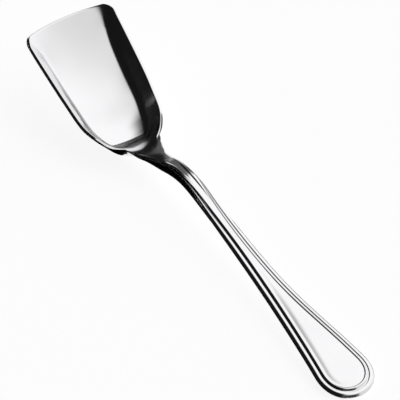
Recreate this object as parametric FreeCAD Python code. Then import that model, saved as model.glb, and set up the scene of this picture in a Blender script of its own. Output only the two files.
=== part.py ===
import FreeCAD, Part
import math
import os

# Ice cream spoon, one piece of polished stainless steel.
# X runs from the lip of the spade bowl to the rounded end of the handle, Y across, Z up.
# It lies as it comes to rest, on the heel of the bowl and on the end of the handle.

os.makedirs("parts", exist_ok=True)
doc = FreeCAD.newDocument("ice_cream_spoon")

# Driving sizes, in millimetres and degrees

SIZES = (
    ("mouth_width", 26.3),
    ("back_width", 21.4),
    ("bowl_reach", 35.0),
    ("back_squareness", 7.0),
    ("lip_bulge", 2.5),
    ("corner_radius", 2.5),
    ("bowl_depth", 5.2),
    ("lip_depth", 2.0),
    ("lip_turn_up", 0.6),
    ("wall_foot", 4.5),
    ("bowl_tilt", 26.2),
    ("bowl_sheet", 1.0),
    ("neck_width", 4.2),
    ("neck_thickness", 3.0),
    ("crest_place", 56.5),
    ("crest_height", 12.15),
    ("handle_reach", 78.6),
    ("handle_end_width", 17.7),
    ("handle_thickness", 1.55),
    ("end_round", 9.9),
    ("outer_thread", 0.45),
    ("inner_thread", 1.35),
    ("outer_thread_drop", 0.3),
    ("inner_thread_drop", 0.36),
)

sheet = doc.addObject("Spreadsheet::Sheet", "sizes")
for row, (name, value) in enumerate(SIZES, start=1):
    sheet.set(f"A{row}", name)
    sheet.set(f"B{row}", str(value))
    sheet.setAlias(f"B{row}", name)
doc.recompute()


def size(name):
    return float(sheet.get(name))


bowl_reach = size("bowl_reach")
bowl_depth = size("bowl_depth")
lip_depth = size("lip_depth")
lip_bulge = size("lip_bulge")
bowl_sheet = size("bowl_sheet")
neck_thickness = size("neck_thickness")
handle_thickness = size("handle_thickness")
crest_place = size("crest_place")
crest_height = size("crest_height")
handle_reach = size("handle_reach")
end_round = size("end_round")

# Places along X that follow from the sizes
end_place = crest_place + handle_reach
turn_place = end_place - end_round
neck_reach = crest_place - bowl_reach
heel_place = bowl_reach - 2.5
floor_foot = bowl_reach - 6.1
joint_place = crest_place - 0.4 * neck_reach
neck_full_place = crest_place - 0.3 * neck_reach
thinning_reach = 0.22 * handle_reach


# Smooth lines through a few chosen stations

def ease(fraction):
    """Runs from 0 to 1 with a level start and a level end."""
    held = min(1.0, max(0.0, fraction))
    return held * held * (3 - 2 * held)


def smooth_line(points):
    """Natural cubic spline through (place, height) points, straight beyond its two ends."""
    places, heights = zip(*points)
    last = len(points) - 1
    step = [places[i + 1] - places[i] for i in range(last)]
    rise = [(heights[i + 1] - heights[i]) / step[i] for i in range(last)]
    bend = [0.0] * (last + 1)
    weight = [1.0] * (last + 1)
    for i in range(1, last):
        share = step[i - 1] / weight[i - 1] if i > 1 else 0.0
        weight[i] = 2 * (step[i - 1] + step[i]) - share * step[i - 1]
        bend[i] = 6 * (rise[i] - rise[i - 1]) - share * bend[i - 1]
    for i in range(last - 1, 0, -1):
        bend[i] = (bend[i] - step[i] * bend[i + 1]) / weight[i]
    first_slope = rise[0] - step[0] * bend[1] / 6
    last_slope = rise[-1] + step[-1] * bend[-2] / 6

    def height(place):
        if place <= places[0]:
            return heights[0] + first_slope * (place - places[0])
        if place >= places[-1]:
            return heights[-1] + last_slope * (place - places[-1])
        i = max(k for k in range(last) if places[k] < place)
        along = place - places[i]
        start = rise[i] - step[i] * (2 * bend[i] + bend[i + 1]) / 6
        twist = (bend[i + 1] - bend[i]) / (6 * step[i])
        return heights[i] + start * along + bend[i] * along ** 2 / 2 + twist * along ** 3

    return height


# Side view: the floor runs down to the heel, the neck climbs to the crest, the handle sinks to its end

bowl_slope = math.tan(math.radians(size("bowl_tilt")))
LIP_RISE_REACH = 17.5
HEEL_SOFTENING = 0.72

# Shares of the neck's reach and rise, and of the handle's reach and drop
NECK_LINE = ((0.07, 0.156), (0.237, 0.35), (0.42, 0.595), (0.60, 0.80), (0.79, 0.93), (1, 1))
HANDLE_LINE = ((0.12, 0.866), (0.30, 0.614), (0.505, 0.388), (0.71, 0.270), (0.862, 0.167), (0.964, 0.046), (1, 0))


def floor_rise(place):
    """Height of the bowl's slanting floor above the heel."""
    return bowl_slope * (floor_foot - place)


def front_depth(place):
    """Depth of the bowl below its edge, which grows from the lip backward."""
    share = min(1.0, max(0.0, (place + lip_bulge) / LIP_RISE_REACH))
    return bowl_depth - (bowl_depth - lip_depth) * (1 - share) ** 2


def channel_depth(place):
    """Depth of the top surface's middle below its edge, all the way: it runs out in the neck."""
    start = floor_foot - 1.4
    return front_depth(place) * (1 - ease((place - start) / (joint_place - start)))


def side_line(heel_height):
    """The middle of the top surface from the lip to the handle's end, for a height of the heel."""
    floor_end = floor_foot - 3.9
    places = [-lip_bulge + (floor_end + lip_bulge) * i / 5 for i in range(6)]
    points = [(place, heel_height + floor_rise(place) + bowl_depth - front_depth(place)) for place in places]
    points += [(floor_foot + 1.2, heel_height + HEEL_SOFTENING), (heel_place, heel_height)]
    points += [(bowl_reach + a * neck_reach, heel_height + b * (crest_height - heel_height)) for a, b in NECK_LINE]
    points += [(crest_place + a * handle_reach, handle_thickness + b * (crest_height - handle_thickness))
               for a, b in HANDLE_LINE]
    return smooth_line(points)


def thickness(place):
    """Thin in the bowl, thickest in the neck, thinner again along the handle."""
    grown = ease((place - heel_place) / (neck_full_place - heel_place))
    shrunk = ease((place - crest_place) / thinning_reach)
    return bowl_sheet + (neck_thickness - bowl_sheet) * grown - (neck_thickness - handle_thickness) * shrunk


def lowest_under(line):
    """Height of the underside's lowest point round the heel, which is to lie on the table."""
    lowest = 100.0
    for i in range(201):
        place = floor_foot - 4 + 12 * i / 200
        slope = line(place + 0.01) - line(place - 0.01)
        lowest = min(lowest, line(place) - thickness(place) / math.sqrt(1 + (slope / 0.02) ** 2))
    return lowest


heel_height = bowl_sheet
for settling in range(4):
    heel_height -= lowest_under(side_line(heel_height))
middle_line = side_line(heel_height)

# Plan view: nearly straight sides, a squarish round back, a waisted neck and a spreading handle

mouth_half = size("mouth_width") / 2
side_taper = (size("mouth_width") - size("back_width")) / 2
neck_half = size("neck_width") / 2
handle_spread = size("handle_end_width") / 2 - neck_half

# Shares of the neck's reach before the crest, and how much wider each half is there
NECK_PLAN = ((-1.046, 2.6), (-0.535, 0.3), (0, 0))
# Shares of the handle's reach and of its spread
HANDLE_PLAN = ((0.146, 0.061), (0.325, 0.133), (0.53, 0.29), (0.71, 0.548), (0.862, 0.79), (1, 1))
UNION_POWER = 3.66

strip_points = [(crest_place + a * neck_reach, neck_half + b) for a, b in NECK_PLAN]
strip_points += [(crest_place + a * handle_reach, neck_half + b * handle_spread) for a, b in HANDLE_PLAN]
strip_line = smooth_line(strip_points)


def half_width(place):
    """Half of the plan width, without the rounding of the handle's end."""
    side = mouth_half - side_taper * place / bowl_reach
    turn = min(1.0, max(0.0, place / bowl_reach))
    bowl = side * math.sqrt(1 - turn ** size("back_squareness"))
    strip = strip_line(max(place, bowl_reach - 5))
    strip *= min(1.0, max(0.0, (place - bowl_reach + 15) / 14))
    return (bowl ** UNION_POWER + strip ** UNION_POWER) ** (1 / UNION_POWER)


# A solid between two surfaces, each led through a grid of points

def surface_face(rows):
    surface = Part.BSplineSurface()
    surface.interpolate(rows)
    return surface.toShape()


def edge_between(face, start, end):
    """The boundary edge of a face that joins two of its corners."""
    for edge in face.Edges:
        ends = [edge.Vertexes[0].Point, edge.Vertexes[-1].Point]
        if min(ends[0].distanceToPoint(start) + ends[1].distanceToPoint(end),
               ends[1].distanceToPoint(start) + ends[0].distanceToPoint(end)) < 0.001:
            return edge
    raise ValueError("no edge joins these corners")


def solid_between(top_rows, under_rows):
    top_face = surface_face(top_rows)
    under_face = surface_face(under_rows)
    faces = [top_face, under_face]
    corners = ((0, 0), (0, -1), (-1, -1), (-1, 0))
    for i in range(4):
        row_a, column_a = corners[i]
        row_b, column_b = corners[(i + 1) % 4]
        top_edge = edge_between(top_face, top_rows[row_a][column_a], top_rows[row_b][column_b])
        under_edge = edge_between(under_face, under_rows[row_a][column_a], under_rows[row_b][column_b])
        faces.append(Part.makeRuledSurface(top_edge, under_edge))
    shell = Part.makeShell(faces)
    shell.sewShape()
    solid = Part.makeSolid(shell)
    if solid.Volume < 0:
        solid.reverse()
    return solid


# The bowl and neck: a pressed sheet, its underside set off along the normals

LIP_FADE = 14.0
LIP_FULLNESS = 2.6
TURN_UP_REACH = 4.0
NORMAL_PROBE = 0.02
# Share of the edge's height that the floor's own slight dish gives; the walls give the rest
DISH_SHARE = 0.3
# Share of the wall's width over which it bends up from the floor, before it runs on straight
WALL_BEND = 0.55


def wall_share(place, across):
    """How far the section has climbed from the floor to the edge: 0 in the middle, 1 at the edge."""
    slant = (half_width(place + NORMAL_PROBE) - half_width(place - NORMAL_PROBE)) / (2 * NORMAL_PROBE)
    foot = size("wall_foot") * math.sqrt(1 + slant ** 2)
    floor_share = max(0.0, 1 - foot / half_width(place))
    climb = max(0.0, abs(across) - floor_share) / (1 - floor_share)
    turned = min(1.0, climb / WALL_BEND)
    bent = WALL_BEND * (turned ** 3 - turned ** 4 / 2)
    wall = (bent + max(0.0, climb - WALL_BEND)) / (1 - WALL_BEND / 2)
    return DISH_SHARE * across ** 2 + (1 - DISH_SHARE) * wall


def bowl_top(station, across):
    """A point of the inside surface: station along X, across from -1 to 1."""
    place = station - lip_bulge * (1 - abs(across) ** LIP_FULLNESS) * max(0.0, 1 - station / LIP_FADE) ** 2
    turned = size("lip_turn_up") * across ** 4 * max(0.0, 1 - station / TURN_UP_REACH) ** 2
    height = middle_line(place) + channel_depth(place) * wall_share(place, across) + turned
    return FreeCAD.Vector(place, across * half_width(place), height)


def bowl_under(station, across):
    """The underside's point: square below the sheet in the bowl, straight below it at the joint."""
    along = bowl_top(station + NORMAL_PROBE, across) - bowl_top(station - NORMAL_PROBE, across)
    left = bowl_top(station, min(1.0, across + NORMAL_PROBE))
    right = bowl_top(station, max(-1.0, across - NORMAL_PROBE))
    normal = (left - right).cross(along)
    normal.normalize()
    normal.x *= 1 - ease((station - heel_place) / (joint_place - heel_place))
    normal.y *= 1 - ease((station - heel_place) / (0.6 * (joint_place - heel_place)))
    normal.normalize()
    return bowl_top(station, across) + normal * thickness(station)


BOWL_STATIONS = 44
BOWL_COLUMNS = 14
stations = [joint_place * i / BOWL_STATIONS for i in range(BOWL_STATIONS + 1)]
columns = [math.sin(math.pi / 2 * i / BOWL_COLUMNS) for i in range(-BOWL_COLUMNS, BOWL_COLUMNS + 1)]
bowl_shape = solid_between([[bowl_top(s, c) for c in columns] for s in stations],
                           [[bowl_under(s, c) for c in columns] for s in stations])
lip_corners = [edge for edge in bowl_shape.Edges
               if edge.Length < 2 * bowl_sheet and max(v.Point.x for v in edge.Vertexes) < lip_bulge
               and min(abs(v.Point.y) for v in edge.Vertexes) > mouth_half - bowl_sheet]
bowl_shape = bowl_shape.makeFillet(size("corner_radius"), lip_corners)

bowl = doc.addObject("Part::Feature", "bowl_and_neck")
bowl.Shape = bowl_shape

# The handle with its double-thread border: a raised panel inside two threads, each a step lower.
# Each level is its side view drawn across, crossed with its own plan view.

def curve_edge(points):
    curve = Part.BSplineCurve()
    curve.interpolate([FreeCAD.Vector(*point) for point in points])
    return curve.toShape()


def line_edge(start, end):
    return Part.makeLine(FreeCAD.Vector(*start), FreeCAD.Vector(*end))


SIDE_POINTS = 34
END_POINTS = 12
OVERRUN = 0.5
# How wide the threads are along the handle: they crowd in towards the neck, where they run out
THREAD_SPREAD = ((-0.11, 0.167), (0, 0.278), (0.045, 0.417), (0.121, 0.667), (0.236, 0.889), (0.428, 0.983), (0.874, 1))
THREAD_START = 0.12
THREAD_RUN = 7.0
thread_spread = smooth_line([(crest_place + a * handle_reach, b) for a, b in THREAD_SPREAD])


def side_slab(name, drop):
    """The handle's side view, its top this much lower where the threads are full, drawn right across."""
    reach = end_place + OVERRUN - joint_place
    places = [joint_place + reach * i / SIDE_POINTS for i in range(SIDE_POINTS + 1)]
    lowered = [drop * (THREAD_START + (1 - THREAD_START) * ease((x - joint_place) / THREAD_RUN)) for x in places]
    top = [(x, -mouth_half, middle_line(x) - y) for x, y in zip(places, lowered)]
    under = [(x, -mouth_half, middle_line(x) - thickness(x)) for x in places]
    wire = Part.Wire([curve_edge(top), line_edge(top[-1], under[-1]),
                      curve_edge(under), line_edge(under[0], top[0])])
    slab = doc.addObject("Part::Feature", name)
    slab.Shape = Part.Face(wire).extrude(FreeCAD.Vector(0, 2 * mouth_half, 0))
    return slab


def plan_block(name, inset):
    """The handle's plan view, this far in from its edge where the threads are full."""
    places = [joint_place + (turn_place - joint_place) * i / SIDE_POINTS for i in range(SIDE_POINTS)]
    outline = [(x, half_width(x) - inset * thread_spread(x)) for x in places]
    for i in range(END_POINTS):
        angle = math.pi / 2 * i / END_POINTS
        wide = half_width(turn_place + end_round * math.sin(angle))
        outline.append((turn_place + (end_round - inset) * math.sin(angle), (wide - inset) * math.cos(angle)))
    outline.append((end_place - inset, 0.0))
    outline += [(x, -y) for x, y in reversed(outline[:-1])]
    points = [(x, y, -OVERRUN) for x, y in outline]
    wire = Part.Wire([curve_edge(points), line_edge(points[-1], points[0])])
    block = doc.addObject("Part::Feature", name)
    block.Shape = Part.Face(wire).extrude(FreeCAD.Vector(0, 0, crest_height + 2 * OVERRUN))
    return block


outer_drop = size("outer_thread_drop") + size("inner_thread_drop")
both_threads = size("outer_thread") + size("inner_thread")
levels = []
for name, inset, drop in (("rim", 0.0, outer_drop), ("thread", size("outer_thread"), size("inner_thread_drop")),
                          ("panel", both_threads, 0.0)):
    level = doc.addObject("Part::Common", f"handle_{name}")
    level.Base = side_slab(f"{name}_side_view", drop)
    level.Tool = plan_block(f"{name}_plan_view", inset)
    levels.append(level)

# The whole spoon, with the middle of its length and width over the origin and its lowest points at Z = 0

FINE_STEP = 0.01
spoon = doc.addObject("Part::MultiFuse", "spoon")
spoon.Label = "spoon"
spoon.Shapes = [bowl] + levels
doc.recompute()
corner_points = spoon.Shape.tessellate(FINE_STEP)[0]
lip_end = min(point.x for point in corner_points)
handle_end = max(point.x for point in corner_points)
lowest = min(point.z for point in corner_points)
spoon.Placement = FreeCAD.Placement(FreeCAD.Vector(-(lip_end + handle_end) / 2, 0, -lowest), FreeCAD.Rotation())

for item in doc.Objects:
    if "Invalid" in item.State or "Error" in item.State:
        raise RuntimeError(f"{item.Label} did not recompute")
    if hasattr(item, "Shape") and (item.Shape.isNull() or not item.Shape.isValid()):
        raise RuntimeError(f"{item.Label} has no valid shape")
if len(spoon.Shape.Solids) != 1:
    raise RuntimeError("the spoon is not one solid")

spoon.Shape.exportStep("parts/spoon.step")
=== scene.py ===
import bpy
import math
from mathutils import Matrix, Vector


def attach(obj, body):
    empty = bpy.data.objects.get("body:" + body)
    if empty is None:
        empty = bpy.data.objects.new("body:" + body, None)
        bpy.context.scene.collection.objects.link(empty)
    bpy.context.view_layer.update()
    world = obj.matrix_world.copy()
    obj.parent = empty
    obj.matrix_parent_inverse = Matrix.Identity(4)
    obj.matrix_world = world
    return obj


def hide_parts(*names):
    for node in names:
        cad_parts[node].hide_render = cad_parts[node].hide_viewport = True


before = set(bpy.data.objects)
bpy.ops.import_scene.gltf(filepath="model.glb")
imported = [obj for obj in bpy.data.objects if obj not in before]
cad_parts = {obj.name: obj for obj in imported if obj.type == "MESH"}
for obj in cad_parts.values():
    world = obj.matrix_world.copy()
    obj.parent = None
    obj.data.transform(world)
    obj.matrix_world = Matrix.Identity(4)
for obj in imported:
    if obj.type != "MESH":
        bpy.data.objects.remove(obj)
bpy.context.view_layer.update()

# The photograph's view: a long lens from the near left of the bowl, half way up.
# It is so far off that the spoon shows with almost no perspective.
azimuth = math.radians(53.388)
elevation = math.radians(45.018)
roll = math.radians(3.572)
lens_distance = 3.7037
aim = Vector((-0.010655, 0.004610, 0.0))
towards_lens = Vector((math.sin(azimuth) * math.cos(elevation),
                       -math.cos(azimuth) * math.cos(elevation),
                       math.sin(elevation)))
level_right = Vector((math.cos(azimuth), math.sin(azimuth), 0.0))
level_up = towards_lens.cross(level_right)
lens_right = math.cos(roll) * level_right + math.sin(roll) * level_up
lens_up = math.cos(roll) * level_up - math.sin(roll) * level_right
camera_data = bpy.data.cameras.new("camera")
camera_data.lens = 1298.31
camera_data.sensor_width = 36.0
camera_data.clip_end = 20.0
camera = bpy.data.objects.new("camera", camera_data)
camera.matrix_world = Matrix.Translation(aim + lens_distance * towards_lens) @ \
    Matrix((lens_right, lens_up, towards_lens)).transposed().to_4x4()
bpy.context.scene.collection.objects.link(camera)
bpy.context.scene.camera = camera
bpy.context.scene.view_settings.view_transform = "Standard"

# The spoon's side view, pressed from one sheet of stainless steel: a slanting bowl that rests on its heel,
# a neck that climbs to a crest, and a long handle that sinks to its resting end.
# Lengths are in millimetres, and a place is the distance along the spoon from the lip's corners.
bowl_reach, crest_place, handle_reach, end_round = 35.0, 56.5, 78.6, 9.9
bowl_depth, lip_depth, lip_bulge = 5.2, 2.0, 2.5
bowl_sheet, neck_thickness, handle_thickness = 1.0, 3.0, 1.55
crest_height = 12.15
bowl_slope = math.tan(math.radians(26.2))
deepening_reach = 17.5
turn_place = crest_place + handle_reach - end_round
neck_reach = crest_place - bowl_reach
heel_place = bowl_reach - 2.5
floor_foot = bowl_reach - 6.1
joint_place = crest_place - 0.4 * neck_reach
neck_full_place = crest_place - 0.3 * neck_reach
thinning_reach = 0.22 * handle_reach


def ease(fraction):
    """Goes softly from 0 to 1 as the fraction does."""
    held = min(1.0, max(0.0, fraction))
    return held * held * (3 - 2 * held)


def smooth_line(points):
    """A function that runs smoothly through points (place, height), and straight on beyond them."""
    places, heights = zip(*points)
    last = len(points) - 1
    step = [places[i + 1] - places[i] for i in range(last)]
    rise = [(heights[i + 1] - heights[i]) / step[i] for i in range(last)]
    bend = [0.0] * (last + 1)
    weight = [1.0] * (last + 1)
    for i in range(1, last):
        share = step[i - 1] / weight[i - 1] if i > 1 else 0.0
        weight[i] = 2 * (step[i - 1] + step[i]) - share * step[i - 1]
        bend[i] = 6 * (rise[i] - rise[i - 1]) - share * bend[i - 1]
    for i in range(last - 1, 0, -1):
        bend[i] = (bend[i] - step[i] * bend[i + 1]) / weight[i]

    def height(place):
        if place <= places[0]:
            return heights[0] + (rise[0] - step[0] * bend[1] / 6) * (place - places[0])
        if place >= places[-1]:
            return heights[-1] + (rise[-1] + step[-1] * bend[-2] / 6) * (place - places[-1])
        i = max(k for k in range(last) if places[k] < place)
        along = place - places[i]
        start = rise[i] - step[i] * (2 * bend[i] + bend[i + 1]) / 6
        turning = (bend[i + 1] - bend[i]) / (6 * step[i])
        return heights[i] + start * along + bend[i] * along ** 2 / 2 + turning * along ** 3

    return height


def front_depth(place):
    """Depth of the bowl, which grows from the lip backwards."""
    share = min(1.0, max(0.0, (place + lip_bulge) / deepening_reach))
    return bowl_depth - (bowl_depth - lip_depth) * (1 - share) ** 2


def channel_depth(place):
    """Depth of the hollow, which fades out into the neck."""
    start = floor_foot - 1.4
    return front_depth(place) * (1 - ease((place - start) / (joint_place - start)))


def thickness(place):
    """The sheet is gathered up in the neck and rolled thin again in the handle."""
    grown = ease((place - heel_place) / (neck_full_place - heel_place))
    shrunk = ease((place - crest_place) / thinning_reach)
    return bowl_sheet + (neck_thickness - bowl_sheet) * grown - (neck_thickness - handle_thickness) * shrunk


def side_line(heel_height):
    """Height of the top along the middle, from the lip to the end."""
    floor_end = floor_foot - 3.9
    places = [-lip_bulge + (floor_end + lip_bulge) * i / 5 for i in range(6)]
    points = [(x, heel_height + bowl_slope * (floor_foot - x) + bowl_depth - front_depth(x)) for x in places]
    points += [(floor_foot + 1.2, heel_height + 0.72), (heel_place, heel_height)]
    neck_shares = ((0.07, 0.156), (0.237, 0.35), (0.42, 0.595), (0.60, 0.80), (0.79, 0.93), (1, 1))
    points += [(bowl_reach + a * neck_reach, heel_height + b * (crest_height - heel_height))
               for a, b in neck_shares]
    handle_shares = ((0.12, 0.866), (0.30, 0.614), (0.505, 0.388), (0.71, 0.270),
                     (0.862, 0.167), (0.964, 0.046), (1, 0))
    points += [(crest_place + a * handle_reach, handle_thickness + b * (crest_height - handle_thickness))
               for a, b in handle_shares]
    return smooth_line(points)


# The heel is lowered until the underside just touches the table
heel_height = bowl_sheet
for settling in range(4):
    line = side_line(heel_height)
    heel_height -= min(line(x) - thickness(x) / math.sqrt(1 + ((line(x + 0.01) - line(x - 0.01)) / 0.02) ** 2)
                       for x in (floor_foot - 4 + 12 * i / 200 for i in range(201)))
middle_line = side_line(heel_height)

# The plan view, cut from the sheet: nearly straight sides to the bowl, a squarish round back, a waisted neck
# with a small fillet where it leaves the bowl, and a handle that widens to a round end.
mouth_half, side_taper, neck_half, handle_half = 13.15, 2.45, 2.1, 8.85
back_squareness, blend_squareness = 7, 3.66
fillet_size, fillet_place = 0.25, 35.3
strip_line = smooth_line(
    [(crest_place + a * neck_reach, neck_half + b) for a, b in ((-1.046, 2.6), (-0.535, 0.3), (0, 0))]
    + [(crest_place + a * handle_reach, neck_half + b * (handle_half - neck_half))
       for a, b in ((0.146, 0.061), (0.325, 0.133), (0.53, 0.29), (0.71, 0.548), (0.862, 0.79), (1, 1))])


def half_width(place):
    side = mouth_half - side_taper * place / bowl_reach
    bowl = side * math.sqrt(1 - min(1.0, max(0.0, place / bowl_reach)) ** back_squareness)
    strip = strip_line(max(place, bowl_reach - 5)) * min(1.0, max(0.0, (place - bowl_reach + 15) / 14))
    fillet = fillet_size * math.exp(-(place - fillet_place) ** 2)
    return (bowl ** blend_squareness + strip ** blend_squareness) ** (1 / blend_squareness) + fillet


# The bowl, pressed hollow: a slightly dished floor, walls that climb from their foot to the edge, and a lip
# that bulges forwards and turns up a little at its corners. Across runs from -1 to 1 between the edges.
wall_foot, wall_bend, dish_share = 4.5, 0.55, 0.3
lip_turn_up, turn_up_reach = 0.6, 4
lip_fullness, lip_fade, lip_section_reach = 2.6, 14, 9


def wall_share(place, across):
    """How much of the depth the surface has climbed, from 0 in the middle to 1 at the edge."""
    slant = (half_width(place + 0.02) - half_width(place - 0.02)) / 0.04
    floor_share = max(0.0, 1 - wall_foot * math.sqrt(1 + slant ** 2) / half_width(place))
    climb = max(0.0, abs(across) - floor_share) / (1 - floor_share)
    turned = min(1.0, climb / wall_bend)
    wall = (wall_bend * (turned ** 3 - turned ** 4 / 2) + max(0.0, climb - wall_bend)) / (1 - wall_bend / 2)
    section = dish_share * across ** 2 + (1 - dish_share) * wall
    lip_share = ease(1 - (place + lip_bulge) / lip_section_reach)
    return section + lip_share * (abs(across) ** 2.4 - section)


# How deep the middle of the inside lies below its edge, from the heel back: the back wall of the bowl
# climbs out into a flat neck root, and the metal is thickest under it.
root_start, root_end = 25, 39
inside_depth = smooth_line([(root_start, 5.2), (27, 5.22), (28.6, 5.2), (29.8, 4.75), (31, 3.6), (32.2, 2.3),
                            (33.5, 1.2), (35, 0.55), (37, 0.15), (root_end, 0.0), (41, 0.0)])


def root_fill(place, across):
    depth = 0.0 if place > root_end else inside_depth(max(place, root_start))
    return (channel_depth(place) - depth) * (1 - wall_share(place, across)) if place > root_start else 0.0


def bowl_top(station, across):
    bulge = lip_bulge * (1 - abs(across) ** lip_fullness)
    place = station - bulge * max(0.0, 1 - station / lip_fade) ** 2
    turned = lip_turn_up * across ** 4 * max(0.0, 1 - station / turn_up_reach) ** 2
    return Vector((place, across * half_width(place),
                   middle_line(place) + channel_depth(place) * wall_share(place, across) + turned))


def bowl_under(station, across):
    """The underside lies square to the top in the bowl, and straight below it in the neck."""
    along = bowl_top(station + 0.02, across) - bowl_top(station - 0.02, across)
    sideways = bowl_top(station, min(1.0, across + 0.02)) - bowl_top(station, max(-1.0, across - 0.02))
    normal = sideways.cross(along)
    normal.normalize()
    normal.x *= 1 - ease((station - heel_place) / (joint_place - heel_place))
    normal.y *= 1 - ease((station - heel_place) / (0.6 * (joint_place - heel_place)))
    normal.normalize()
    return bowl_top(station, across) + normal * thickness(station)


# The double thread round the handle, pressed along its edge. Outside lies a broad thread with a sloping
# shoulder, then a step up to the narrow inner thread, and inside it the panel, set in by a fine line.
# All of them crowd in at the neck.
spread_line = smooth_line([(crest_place + a * handle_reach, b) for a, b in (
    (-0.11, 0.167), (0, 0.278), (0.045, 0.417), (0.121, 0.667), (0.236, 0.889), (0.428, 0.983), (0.874, 1))])
# Heights against the panel at distances in from the edge, where the border is full
thread_profile = ((0.0, -1.0), (0.2, -0.84), (0.4, -0.60), (0.6, -0.46), (0.9, -0.40), (1.25, -0.42),
                  (1.5, -0.47), (1.62, -0.44), (1.82, -0.22), (2.02, -0.01), (2.2, 0.04), (2.38, 0.02))
panel_profile = ((2.5, -0.085), (2.6, -0.1), (2.75, -0.108), (2.87, -0.108), (3.3, -0.075),
                 (3.8, -0.03), (4.3, -0.003), (4.4, 0.0), (5.0, 0.0))
border_line = smooth_line(thread_profile + panel_profile)
panel_inset, flat_inset = 2.3, 4.4


def border_drop(place, inset):
    begin = ease((place - joint_place + 4) / 9)
    across = inset / spread_line(max(place, joint_place))
    if across > panel_inset:
        begin *= 0.2 + 0.8 * ease((place - 85) / 22)
    return -begin * border_line(across) if across < flat_inset else 0.0


# In the neck the metal is fuller, its flanks are broken by a wide bevel, and a low rib runs in from each
# edge towards the crest, where it becomes the border. Behind the heel the underside is drawn up.
neck_fullness, bevel_drop, bevel_width, rib_height = 0.35, 0.55, 1.1, 0.13
heel_draw, heel_side_draw = 0.9, 0.7
rib_line = smooth_line([(40, 0.1), (44, 0.4), (50, 1.1), (56, 1.6), (66, 1.8), (76, 1.9)])


def swell(size, place, start, rising, end, falling):
    """A size that comes in after the start and fades out after the end."""
    return size * ease((place - start) / rising) * (1 - ease((place - end) / falling))


def neck_form(place, inset):
    if not 36 < place < 76:
        return 0.0
    slope = max(0.0, 1 - inset / bevel_width) ** 2
    inside_rib = 1 - ease((inset - rib_line(place)) / 0.4 + 0.5)
    full = swell(neck_fullness, place, 36, 5, 50, 8)
    bevel = swell(bevel_drop * slope, place, 38, 6, 50, 12)
    rib = swell(rib_height * inside_rib, place, 42, 5, 56, 14)
    return full - bevel + rib


def heel_lift(place, across):
    """How far the underside is drawn up behind the heel, and at the heel's two sides."""
    behind = swell(1.0, place, 31, 5, 40, 9)
    return heel_draw * behind + swell(heel_side_draw * across ** 2, place, 26, 5, 34, 5)


# Rows of points run across the spoon from lip to end, closest together at the lip and the heel, and
# fan round the handle's end. Columns follow the edge, closest together over the thread border.
rows = [0.0, 0.02, 0.06, 0.12, 0.2, 0.3, 0.5, 0.9, 1.4, 2.0, 2.7, 3.4, 4.2, 5.0] + [5.0 + i for i in range(1, 21)]
rows += [25 + 0.55 * i for i in range(1, 21)] + [36 + 0.7 * i for i in range(1, 19)]
long_start, long_rows, fan_rows = 48.6, 56, 18
rows += [long_start + (turn_place - long_start) * i / long_rows for i in range(1, long_rows + 1)]
row_count = len(rows) + fan_rows
thread_columns = [0.0, 0.03, 0.08, 0.14, 0.21, 0.28, 0.36, 0.44, 0.52, 0.6, 0.7, 0.82, 0.95, 1.08, 1.2, 1.3,
                  1.38, 1.45, 1.51, 1.57, 1.63, 1.69, 1.75, 1.81, 1.87, 1.93, 1.99, 2.06, 2.14, 2.22, 2.3,
                  2.4, 2.5, 2.6, 2.72, 2.87]
bowl_columns = [0.0, 0.008, 0.02, 0.04, 0.07, 0.11, 0.17, 0.25, 0.36, 0.5] + [0.66 + 0.2 * i for i in range(26)]
inward_shares = [0.05, 0.1, 0.16, 0.23, 0.3, 0.38, 0.46, 0.55, 0.64, 0.73, 0.82, 0.91]
half_count = len(thread_columns) + len(inward_shares)
column_count = 2 * half_count + 1


def inset_of(column, place):
    """How far in from the edge a column lies at a place."""
    k = min(column, column_count - 1 - column)
    wide = half_width(place)
    turned = ease((place - 29) / (joint_place - 29))
    spread = spread_line(max(place, joint_place))
    last = min(k, len(thread_columns) - 1)
    inset = (1 - turned) * bowl_columns[last] * wide / mouth_half + turned * thread_columns[last] * spread
    if k < len(thread_columns):
        return inset
    share = inward_shares[k - len(thread_columns)] if k < half_count else 1.0
    return inset + (wide - inset) * share


def rounded_corner(station, inset):
    """Draws the square corner between lip and side round, ring by ring."""
    reach = 5.0
    if station >= reach or inset >= reach:
        return station, inset
    ring = min(station, inset)
    leg = reach - ring
    straight = leg / 2
    total = 2 * straight + math.pi / 2 * straight
    walked = (reach - inset if station <= inset else leg + station - ring) / (2 * leg) * total
    if walked < straight:
        return ring, reach - walked
    if walked > total - straight:
        return reach - (total - walked), ring
    turn = (walked - straight) / straight
    return ring + straight * (1 - math.cos(turn)), ring + straight * (1 - math.sin(turn))


def rounding(radius, distance):
    """How far a rounded edge falls away at a distance in from it."""
    return radius - math.sqrt(radius ** 2 - max(0.0, radius - distance) ** 2)


edge_radius, heel_radius_growth, neck_radius_loss = 0.28, 0.3, 0.18
handle_radius_under, handle_radius_top = 0.58, 0.1
middle_place, to_metres = 65.983, 0.001


def bowl_point(row, column, side, under):
    """A point of the bowl, its edges rounded square to the sheet."""
    station, inset = rounded_corner(rows[row], inset_of(column, rows[row]))
    wide = half_width(rows[row])
    across = side * (1 - inset / wide)
    top, low = bowl_top(station, across), bowl_under(station, across)
    sheet = (low - top).normalized()
    step = (bowl_top(station, side * (1 - inset / wide - 0.01)) - top).length / (0.01 * wide)
    if under:
        radius = edge_radius + heel_radius_growth * ease((station - heel_place) / 12)
    else:
        radius = edge_radius - neck_radius_loss * ease((station - joint_place + 6) / 6)
    fall = rounding(radius, min(inset * step, station * 1.15))
    if under:
        return low - sheet * fall + Vector((0, 0, heel_lift(station, across)))
    raised = root_fill(station, across) + neck_form(station, inset)
    return top + sheet * (fall + border_drop(station, inset)) + Vector((0, 0, raised))


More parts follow.
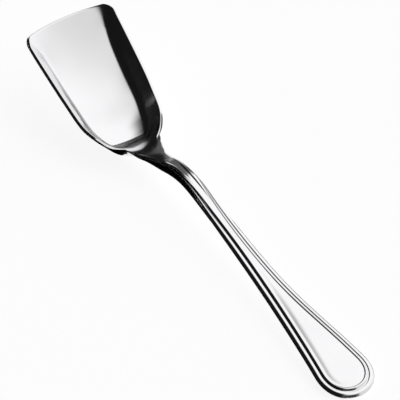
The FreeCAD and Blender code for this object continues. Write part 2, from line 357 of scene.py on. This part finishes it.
def spoon_point(row, column, under):
    side = -1 if column < half_count else 1
    if row < len(rows) and rows[row] <= joint_place:
        point = bowl_point(row, column, side, under)
    else:
        angle = 0.0 if row < len(rows) else math.pi / 2 * (row - len(rows) + 1) / fan_rows
        outer = rows[row] if row < len(rows) else turn_place + end_round * math.sin(angle)
        wide = half_width(outer)
        inset = inset_of(column, outer)
        place = outer if row < len(rows) else turn_place + (end_round - inset) * math.sin(angle)
        height = middle_line(place)
        if under:
            height += rounding(handle_radius_under, inset) - thickness(place) + heel_lift(place, 0.0)
        else:
            height += neck_form(outer, inset) - border_drop(outer, inset) - rounding(handle_radius_top, inset)
        point = Vector((place, side * (wide - inset) * math.cos(angle), height))
    return (point - Vector((middle_place, 0, 0))) * to_metres


# The spoon itself, one sheet of polished stainless steel. The top and the underside are pressed out of two
# grids, their edges are joined all round, and the edges are broken as a polishing wheel leaves them.
bpy.ops.object.select_all(action="DESELECT")
sheets = []
for under in (False, True):
    bpy.ops.mesh.primitive_grid_add(x_subdivisions=row_count - 1, y_subdivisions=column_count - 1, size=2.0,
                                    location=(0, 0, 0))
    pressed = bpy.context.active_object
    for vertex in pressed.data.vertices:
        row = round((vertex.co.x + 1) / 2 * (row_count - 1))
        column = round((vertex.co.y + 1) / 2 * (column_count - 1))
        vertex.co = spoon_point(row, column, under)
    sheets.append(pressed)
bpy.ops.object.select_all(action="DESELECT")
for pressed in sheets:
    pressed.select_set(True)
bpy.context.view_layer.objects.active = sheets[0]
bpy.ops.object.join()
spoon = bpy.context.active_object
spoon.name = "polished_spoon"
bpy.ops.object.mode_set(mode="EDIT")
bpy.ops.mesh.select_all(action="SELECT")
bpy.ops.mesh.remove_doubles(threshold=0.000002)
bpy.ops.mesh.select_all(action="DESELECT")
bpy.ops.mesh.select_mode(type="EDGE")
bpy.ops.mesh.select_non_manifold(extend=False, use_wire=False, use_boundary=True, use_multi_face=False,
                                 use_non_contiguous=False, use_verts=False)
bpy.ops.mesh.bridge_edge_loops()
bpy.ops.mesh.select_all(action="SELECT")
bpy.ops.mesh.normals_make_consistent(inside=False)
bpy.ops.object.mode_set(mode="OBJECT")
bpy.ops.object.shade_smooth()
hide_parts("spoon")
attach(spoon, "root")

# Bright stainless steel straight from the polishing wheel: nearly a mirror, with the finest hairlines
# along the spoon and a slight clouding of its tint.
steel = bpy.data.materials.new("polished_steel")
steel.use_nodes = True
nodes, links = steel.node_tree.nodes, steel.node_tree.links
shader = nodes["Principled BSDF"]
shader.inputs["Metallic"].default_value = 1.0
place = nodes.new("ShaderNodeTexCoord")
hairline_run = nodes.new("ShaderNodeMapping")
hairline_run.inputs["Scale"].default_value = (300.0, 9000.0, 9000.0)
links.new(place.outputs["Object"], hairline_run.inputs["Vector"])
hairlines = nodes.new("ShaderNodeTexNoise")
hairlines.inputs["Scale"].default_value = 1.0
hairlines.inputs["Detail"].default_value = 4.0
links.new(hairline_run.outputs["Vector"], hairlines.inputs["Vector"])
clouding = nodes.new("ShaderNodeTexNoise")
clouding.inputs["Scale"].default_value = 160.0
clouding.inputs["Detail"].default_value = 3.0
links.new(place.outputs["Object"], clouding.inputs["Vector"])
gloss = nodes.new("ShaderNodeMapRange")
gloss.inputs["From Min"].default_value = 0.3
gloss.inputs["From Max"].default_value = 0.7
gloss.inputs["To Min"].default_value = 0.10
gloss.inputs["To Max"].default_value = 0.16
links.new(hairlines.outputs["Fac"], gloss.inputs["Value"])
links.new(gloss.outputs["Result"], shader.inputs["Roughness"])
tint = nodes.new("ShaderNodeMix")
tint.data_type = "RGBA"
tint.inputs["A"].default_value = (0.80, 0.80, 0.81, 1.0)
tint.inputs["B"].default_value = (0.86, 0.86, 0.87, 1.0)
links.new(clouding.outputs["Fac"], tint.inputs["Factor"])
links.new(tint.outputs["Result"], shader.inputs["Base Color"])
grain = nodes.new("ShaderNodeBump")
grain.inputs["Strength"].default_value = 0.04
grain.inputs["Distance"].default_value = 0.00002
links.new(hairlines.outputs["Fac"], grain.inputs["Height"])
links.new(grain.outputs["Normal"], shader.inputs["Normal"])
spoon.data.materials.clear()
spoon.data.materials.append(steel)

# The floor: a wide plain white board, matt. The lens and the steel see most of it as white, and the rest
# of it keeps the spoon's soft shadow.
bpy.ops.object.select_all(action="DESELECT")
bpy.ops.mesh.primitive_grid_add(x_subdivisions=4, y_subdivisions=4, size=6.0, location=(0, 0, 0))
floor = bpy.context.active_object
floor.name = "floor"
board = bpy.data.materials.new("white_board")
board.use_nodes = True
nodes, links = board.node_tree.nodes, board.node_tree.links
nodes["Principled BSDF"].inputs["Base Color"].default_value = (0.85, 0.85, 0.85, 1.0)
nodes["Principled BSDF"].inputs["Roughness"].default_value = 0.9
nodes["Principled BSDF"].inputs["Specular IOR Level"].default_value = 0.0
seen = nodes.new("ShaderNodeLightPath")
lift = nodes.new("ShaderNodeMath")
lift.operation = "ADD"
links.new(seen.outputs["Is Camera Ray"], lift.inputs[0])
links.new(seen.outputs["Is Glossy Ray"], lift.inputs[1])
glow = nodes.new("ShaderNodeEmission")
glow.inputs["Strength"].default_value = 1.2
share = nodes.new("ShaderNodeMath")
share.operation = "MULTIPLY"
share.inputs[1].default_value = 0.75
links.new(lift.outputs["Value"], share.inputs[0])
both = nodes.new("ShaderNodeMixShader")
links.new(share.outputs["Value"], both.inputs["Fac"])
links.new(nodes["Principled BSDF"].outputs["BSDF"], both.inputs[1])
links.new(glow.outputs["Emission"], both.inputs[2])
links.new(both.outputs["Shader"], nodes["Material Output"].inputs["Surface"])
floor.data.materials.append(board)

# Two black sheets lie on the board, one along the near side of the spoon and one turned round the handle's end.
# They are painted shade: they stand in for the spoon's own shadow on the board, which the metal reflects as dark
# lines down its sides. Only reflections show them.
bpy.ops.object.select_all(action="DESELECT")
bpy.ops.mesh.primitive_plane_add(size=1.0, location=(-0.05, -0.304, 0.00005))
shade_sheet = bpy.context.active_object
shade_sheet.name = "painted_shade_sheet"
shade_sheet.scale = (0.7, 0.6, 1.0)
bpy.ops.object.transform_apply(location=True, rotation=True, scale=True)
bpy.ops.object.select_all(action="DESELECT")
turn = math.radians(-52)
end_centre, shade_sheet_distance = 0.0592, 0.3085
bpy.ops.mesh.primitive_plane_add(size=0.6, rotation=(0, 0, turn),
                                 location=(end_centre + shade_sheet_distance * math.cos(turn),
                                           shade_sheet_distance * math.sin(turn), 0.00008))
shade_sheet.select_set(True)
bpy.context.view_layer.objects.active = shade_sheet
bpy.ops.object.join()
# Painted shade: the sheets are hidden from the lens, cast no shadow and light nothing, so only the metal's
# reflections show them
shade_sheet.visible_camera = False
shade_sheet.visible_shadow = False
shade_sheet.visible_diffuse = False
# Painted shade: a dead black that stands in for the spoon's shadow on the board
shade_black = bpy.data.materials.new("painted_shade_black")
shade_black.use_nodes = True
shade_black_shader = shade_black.node_tree.nodes["Principled BSDF"]
shade_black_shader.inputs["Base Color"].default_value = (0.004, 0.004, 0.004, 1.0)
shade_black_shader.inputs["Roughness"].default_value = 1.0
shade_black_shader.inputs["Specular IOR Level"].default_value = 0.0
shade_sheet.data.materials.append(shade_black)

# A white tent all round, the only light: open and dark on the near side, where the photographer stands,
# with a grey screen beyond the bowl, a dark gap beyond the handle's end, and its far side the brightest.
world = bpy.data.worlds.new("white_tent")
bpy.context.scene.world = world
world.use_nodes = True
nodes, links = world.node_tree.nodes, world.node_tree.links
background = nodes["Background"]
background.inputs["Color"].default_value = (1.0, 1.0, 1.0, 1.0)
towards = nodes.new("ShaderNodeTexCoord")
shades = []
# Each field: its direction, how closely a ray has to face it to begin and to be full, brightness off and on it
for name, axis, low, high, near, far in (("opening", (-0.31, -0.85, 0.42), 0.14, 0.38, 1.0, 0.01),
                                         ("grey_screen", (-0.96, 0.26, 0.09), 0.73, 0.80, 1.0, 0.11),
                                         ("end_side", (0.93, -0.05, 0.36), 0.87, 0.95, 1.0, 0.05),
                                         ("far_side", (-0.35, 0.70, 0.62), 0.45, 0.90, 0.83, 1.14)):
    facing = nodes.new("ShaderNodeVectorMath")
    facing.name = name
    facing.operation = "DOT_PRODUCT"
    facing.inputs[1].default_value = axis
    links.new(towards.outputs["Generated"], facing.inputs[0])
    shade = nodes.new("ShaderNodeMapRange")
    shade.interpolation_type = "SMOOTHSTEP"
    shade.inputs["From Min"].default_value = low
    shade.inputs["From Max"].default_value = high
    shade.inputs["To Min"].default_value = near
    shade.inputs["To Max"].default_value = far
    links.new(facing.outputs["Value"], shade.inputs["Value"])
    shades.append(shade)
brightness = shades[0].outputs["Result"]
for shade in shades[1:]:
    product = nodes.new("ShaderNodeMath")
    product.operation = "MULTIPLY"
    links.new(brightness, product.inputs[0])
    links.new(shade.outputs["Result"], product.inputs[1])
    brightness = product.outputs["Value"]
rays = nodes.new("ShaderNodeLightPath")
behind = nodes.new("ShaderNodeMix")
behind.data_type = "FLOAT"
behind.inputs["B"].default_value = 1.0
links.new(rays.outputs["Is Camera Ray"], behind.inputs["Factor"])
links.new(brightness, behind.inputs["A"])
links.new(behind.outputs["Result"], background.inputs["Strength"])
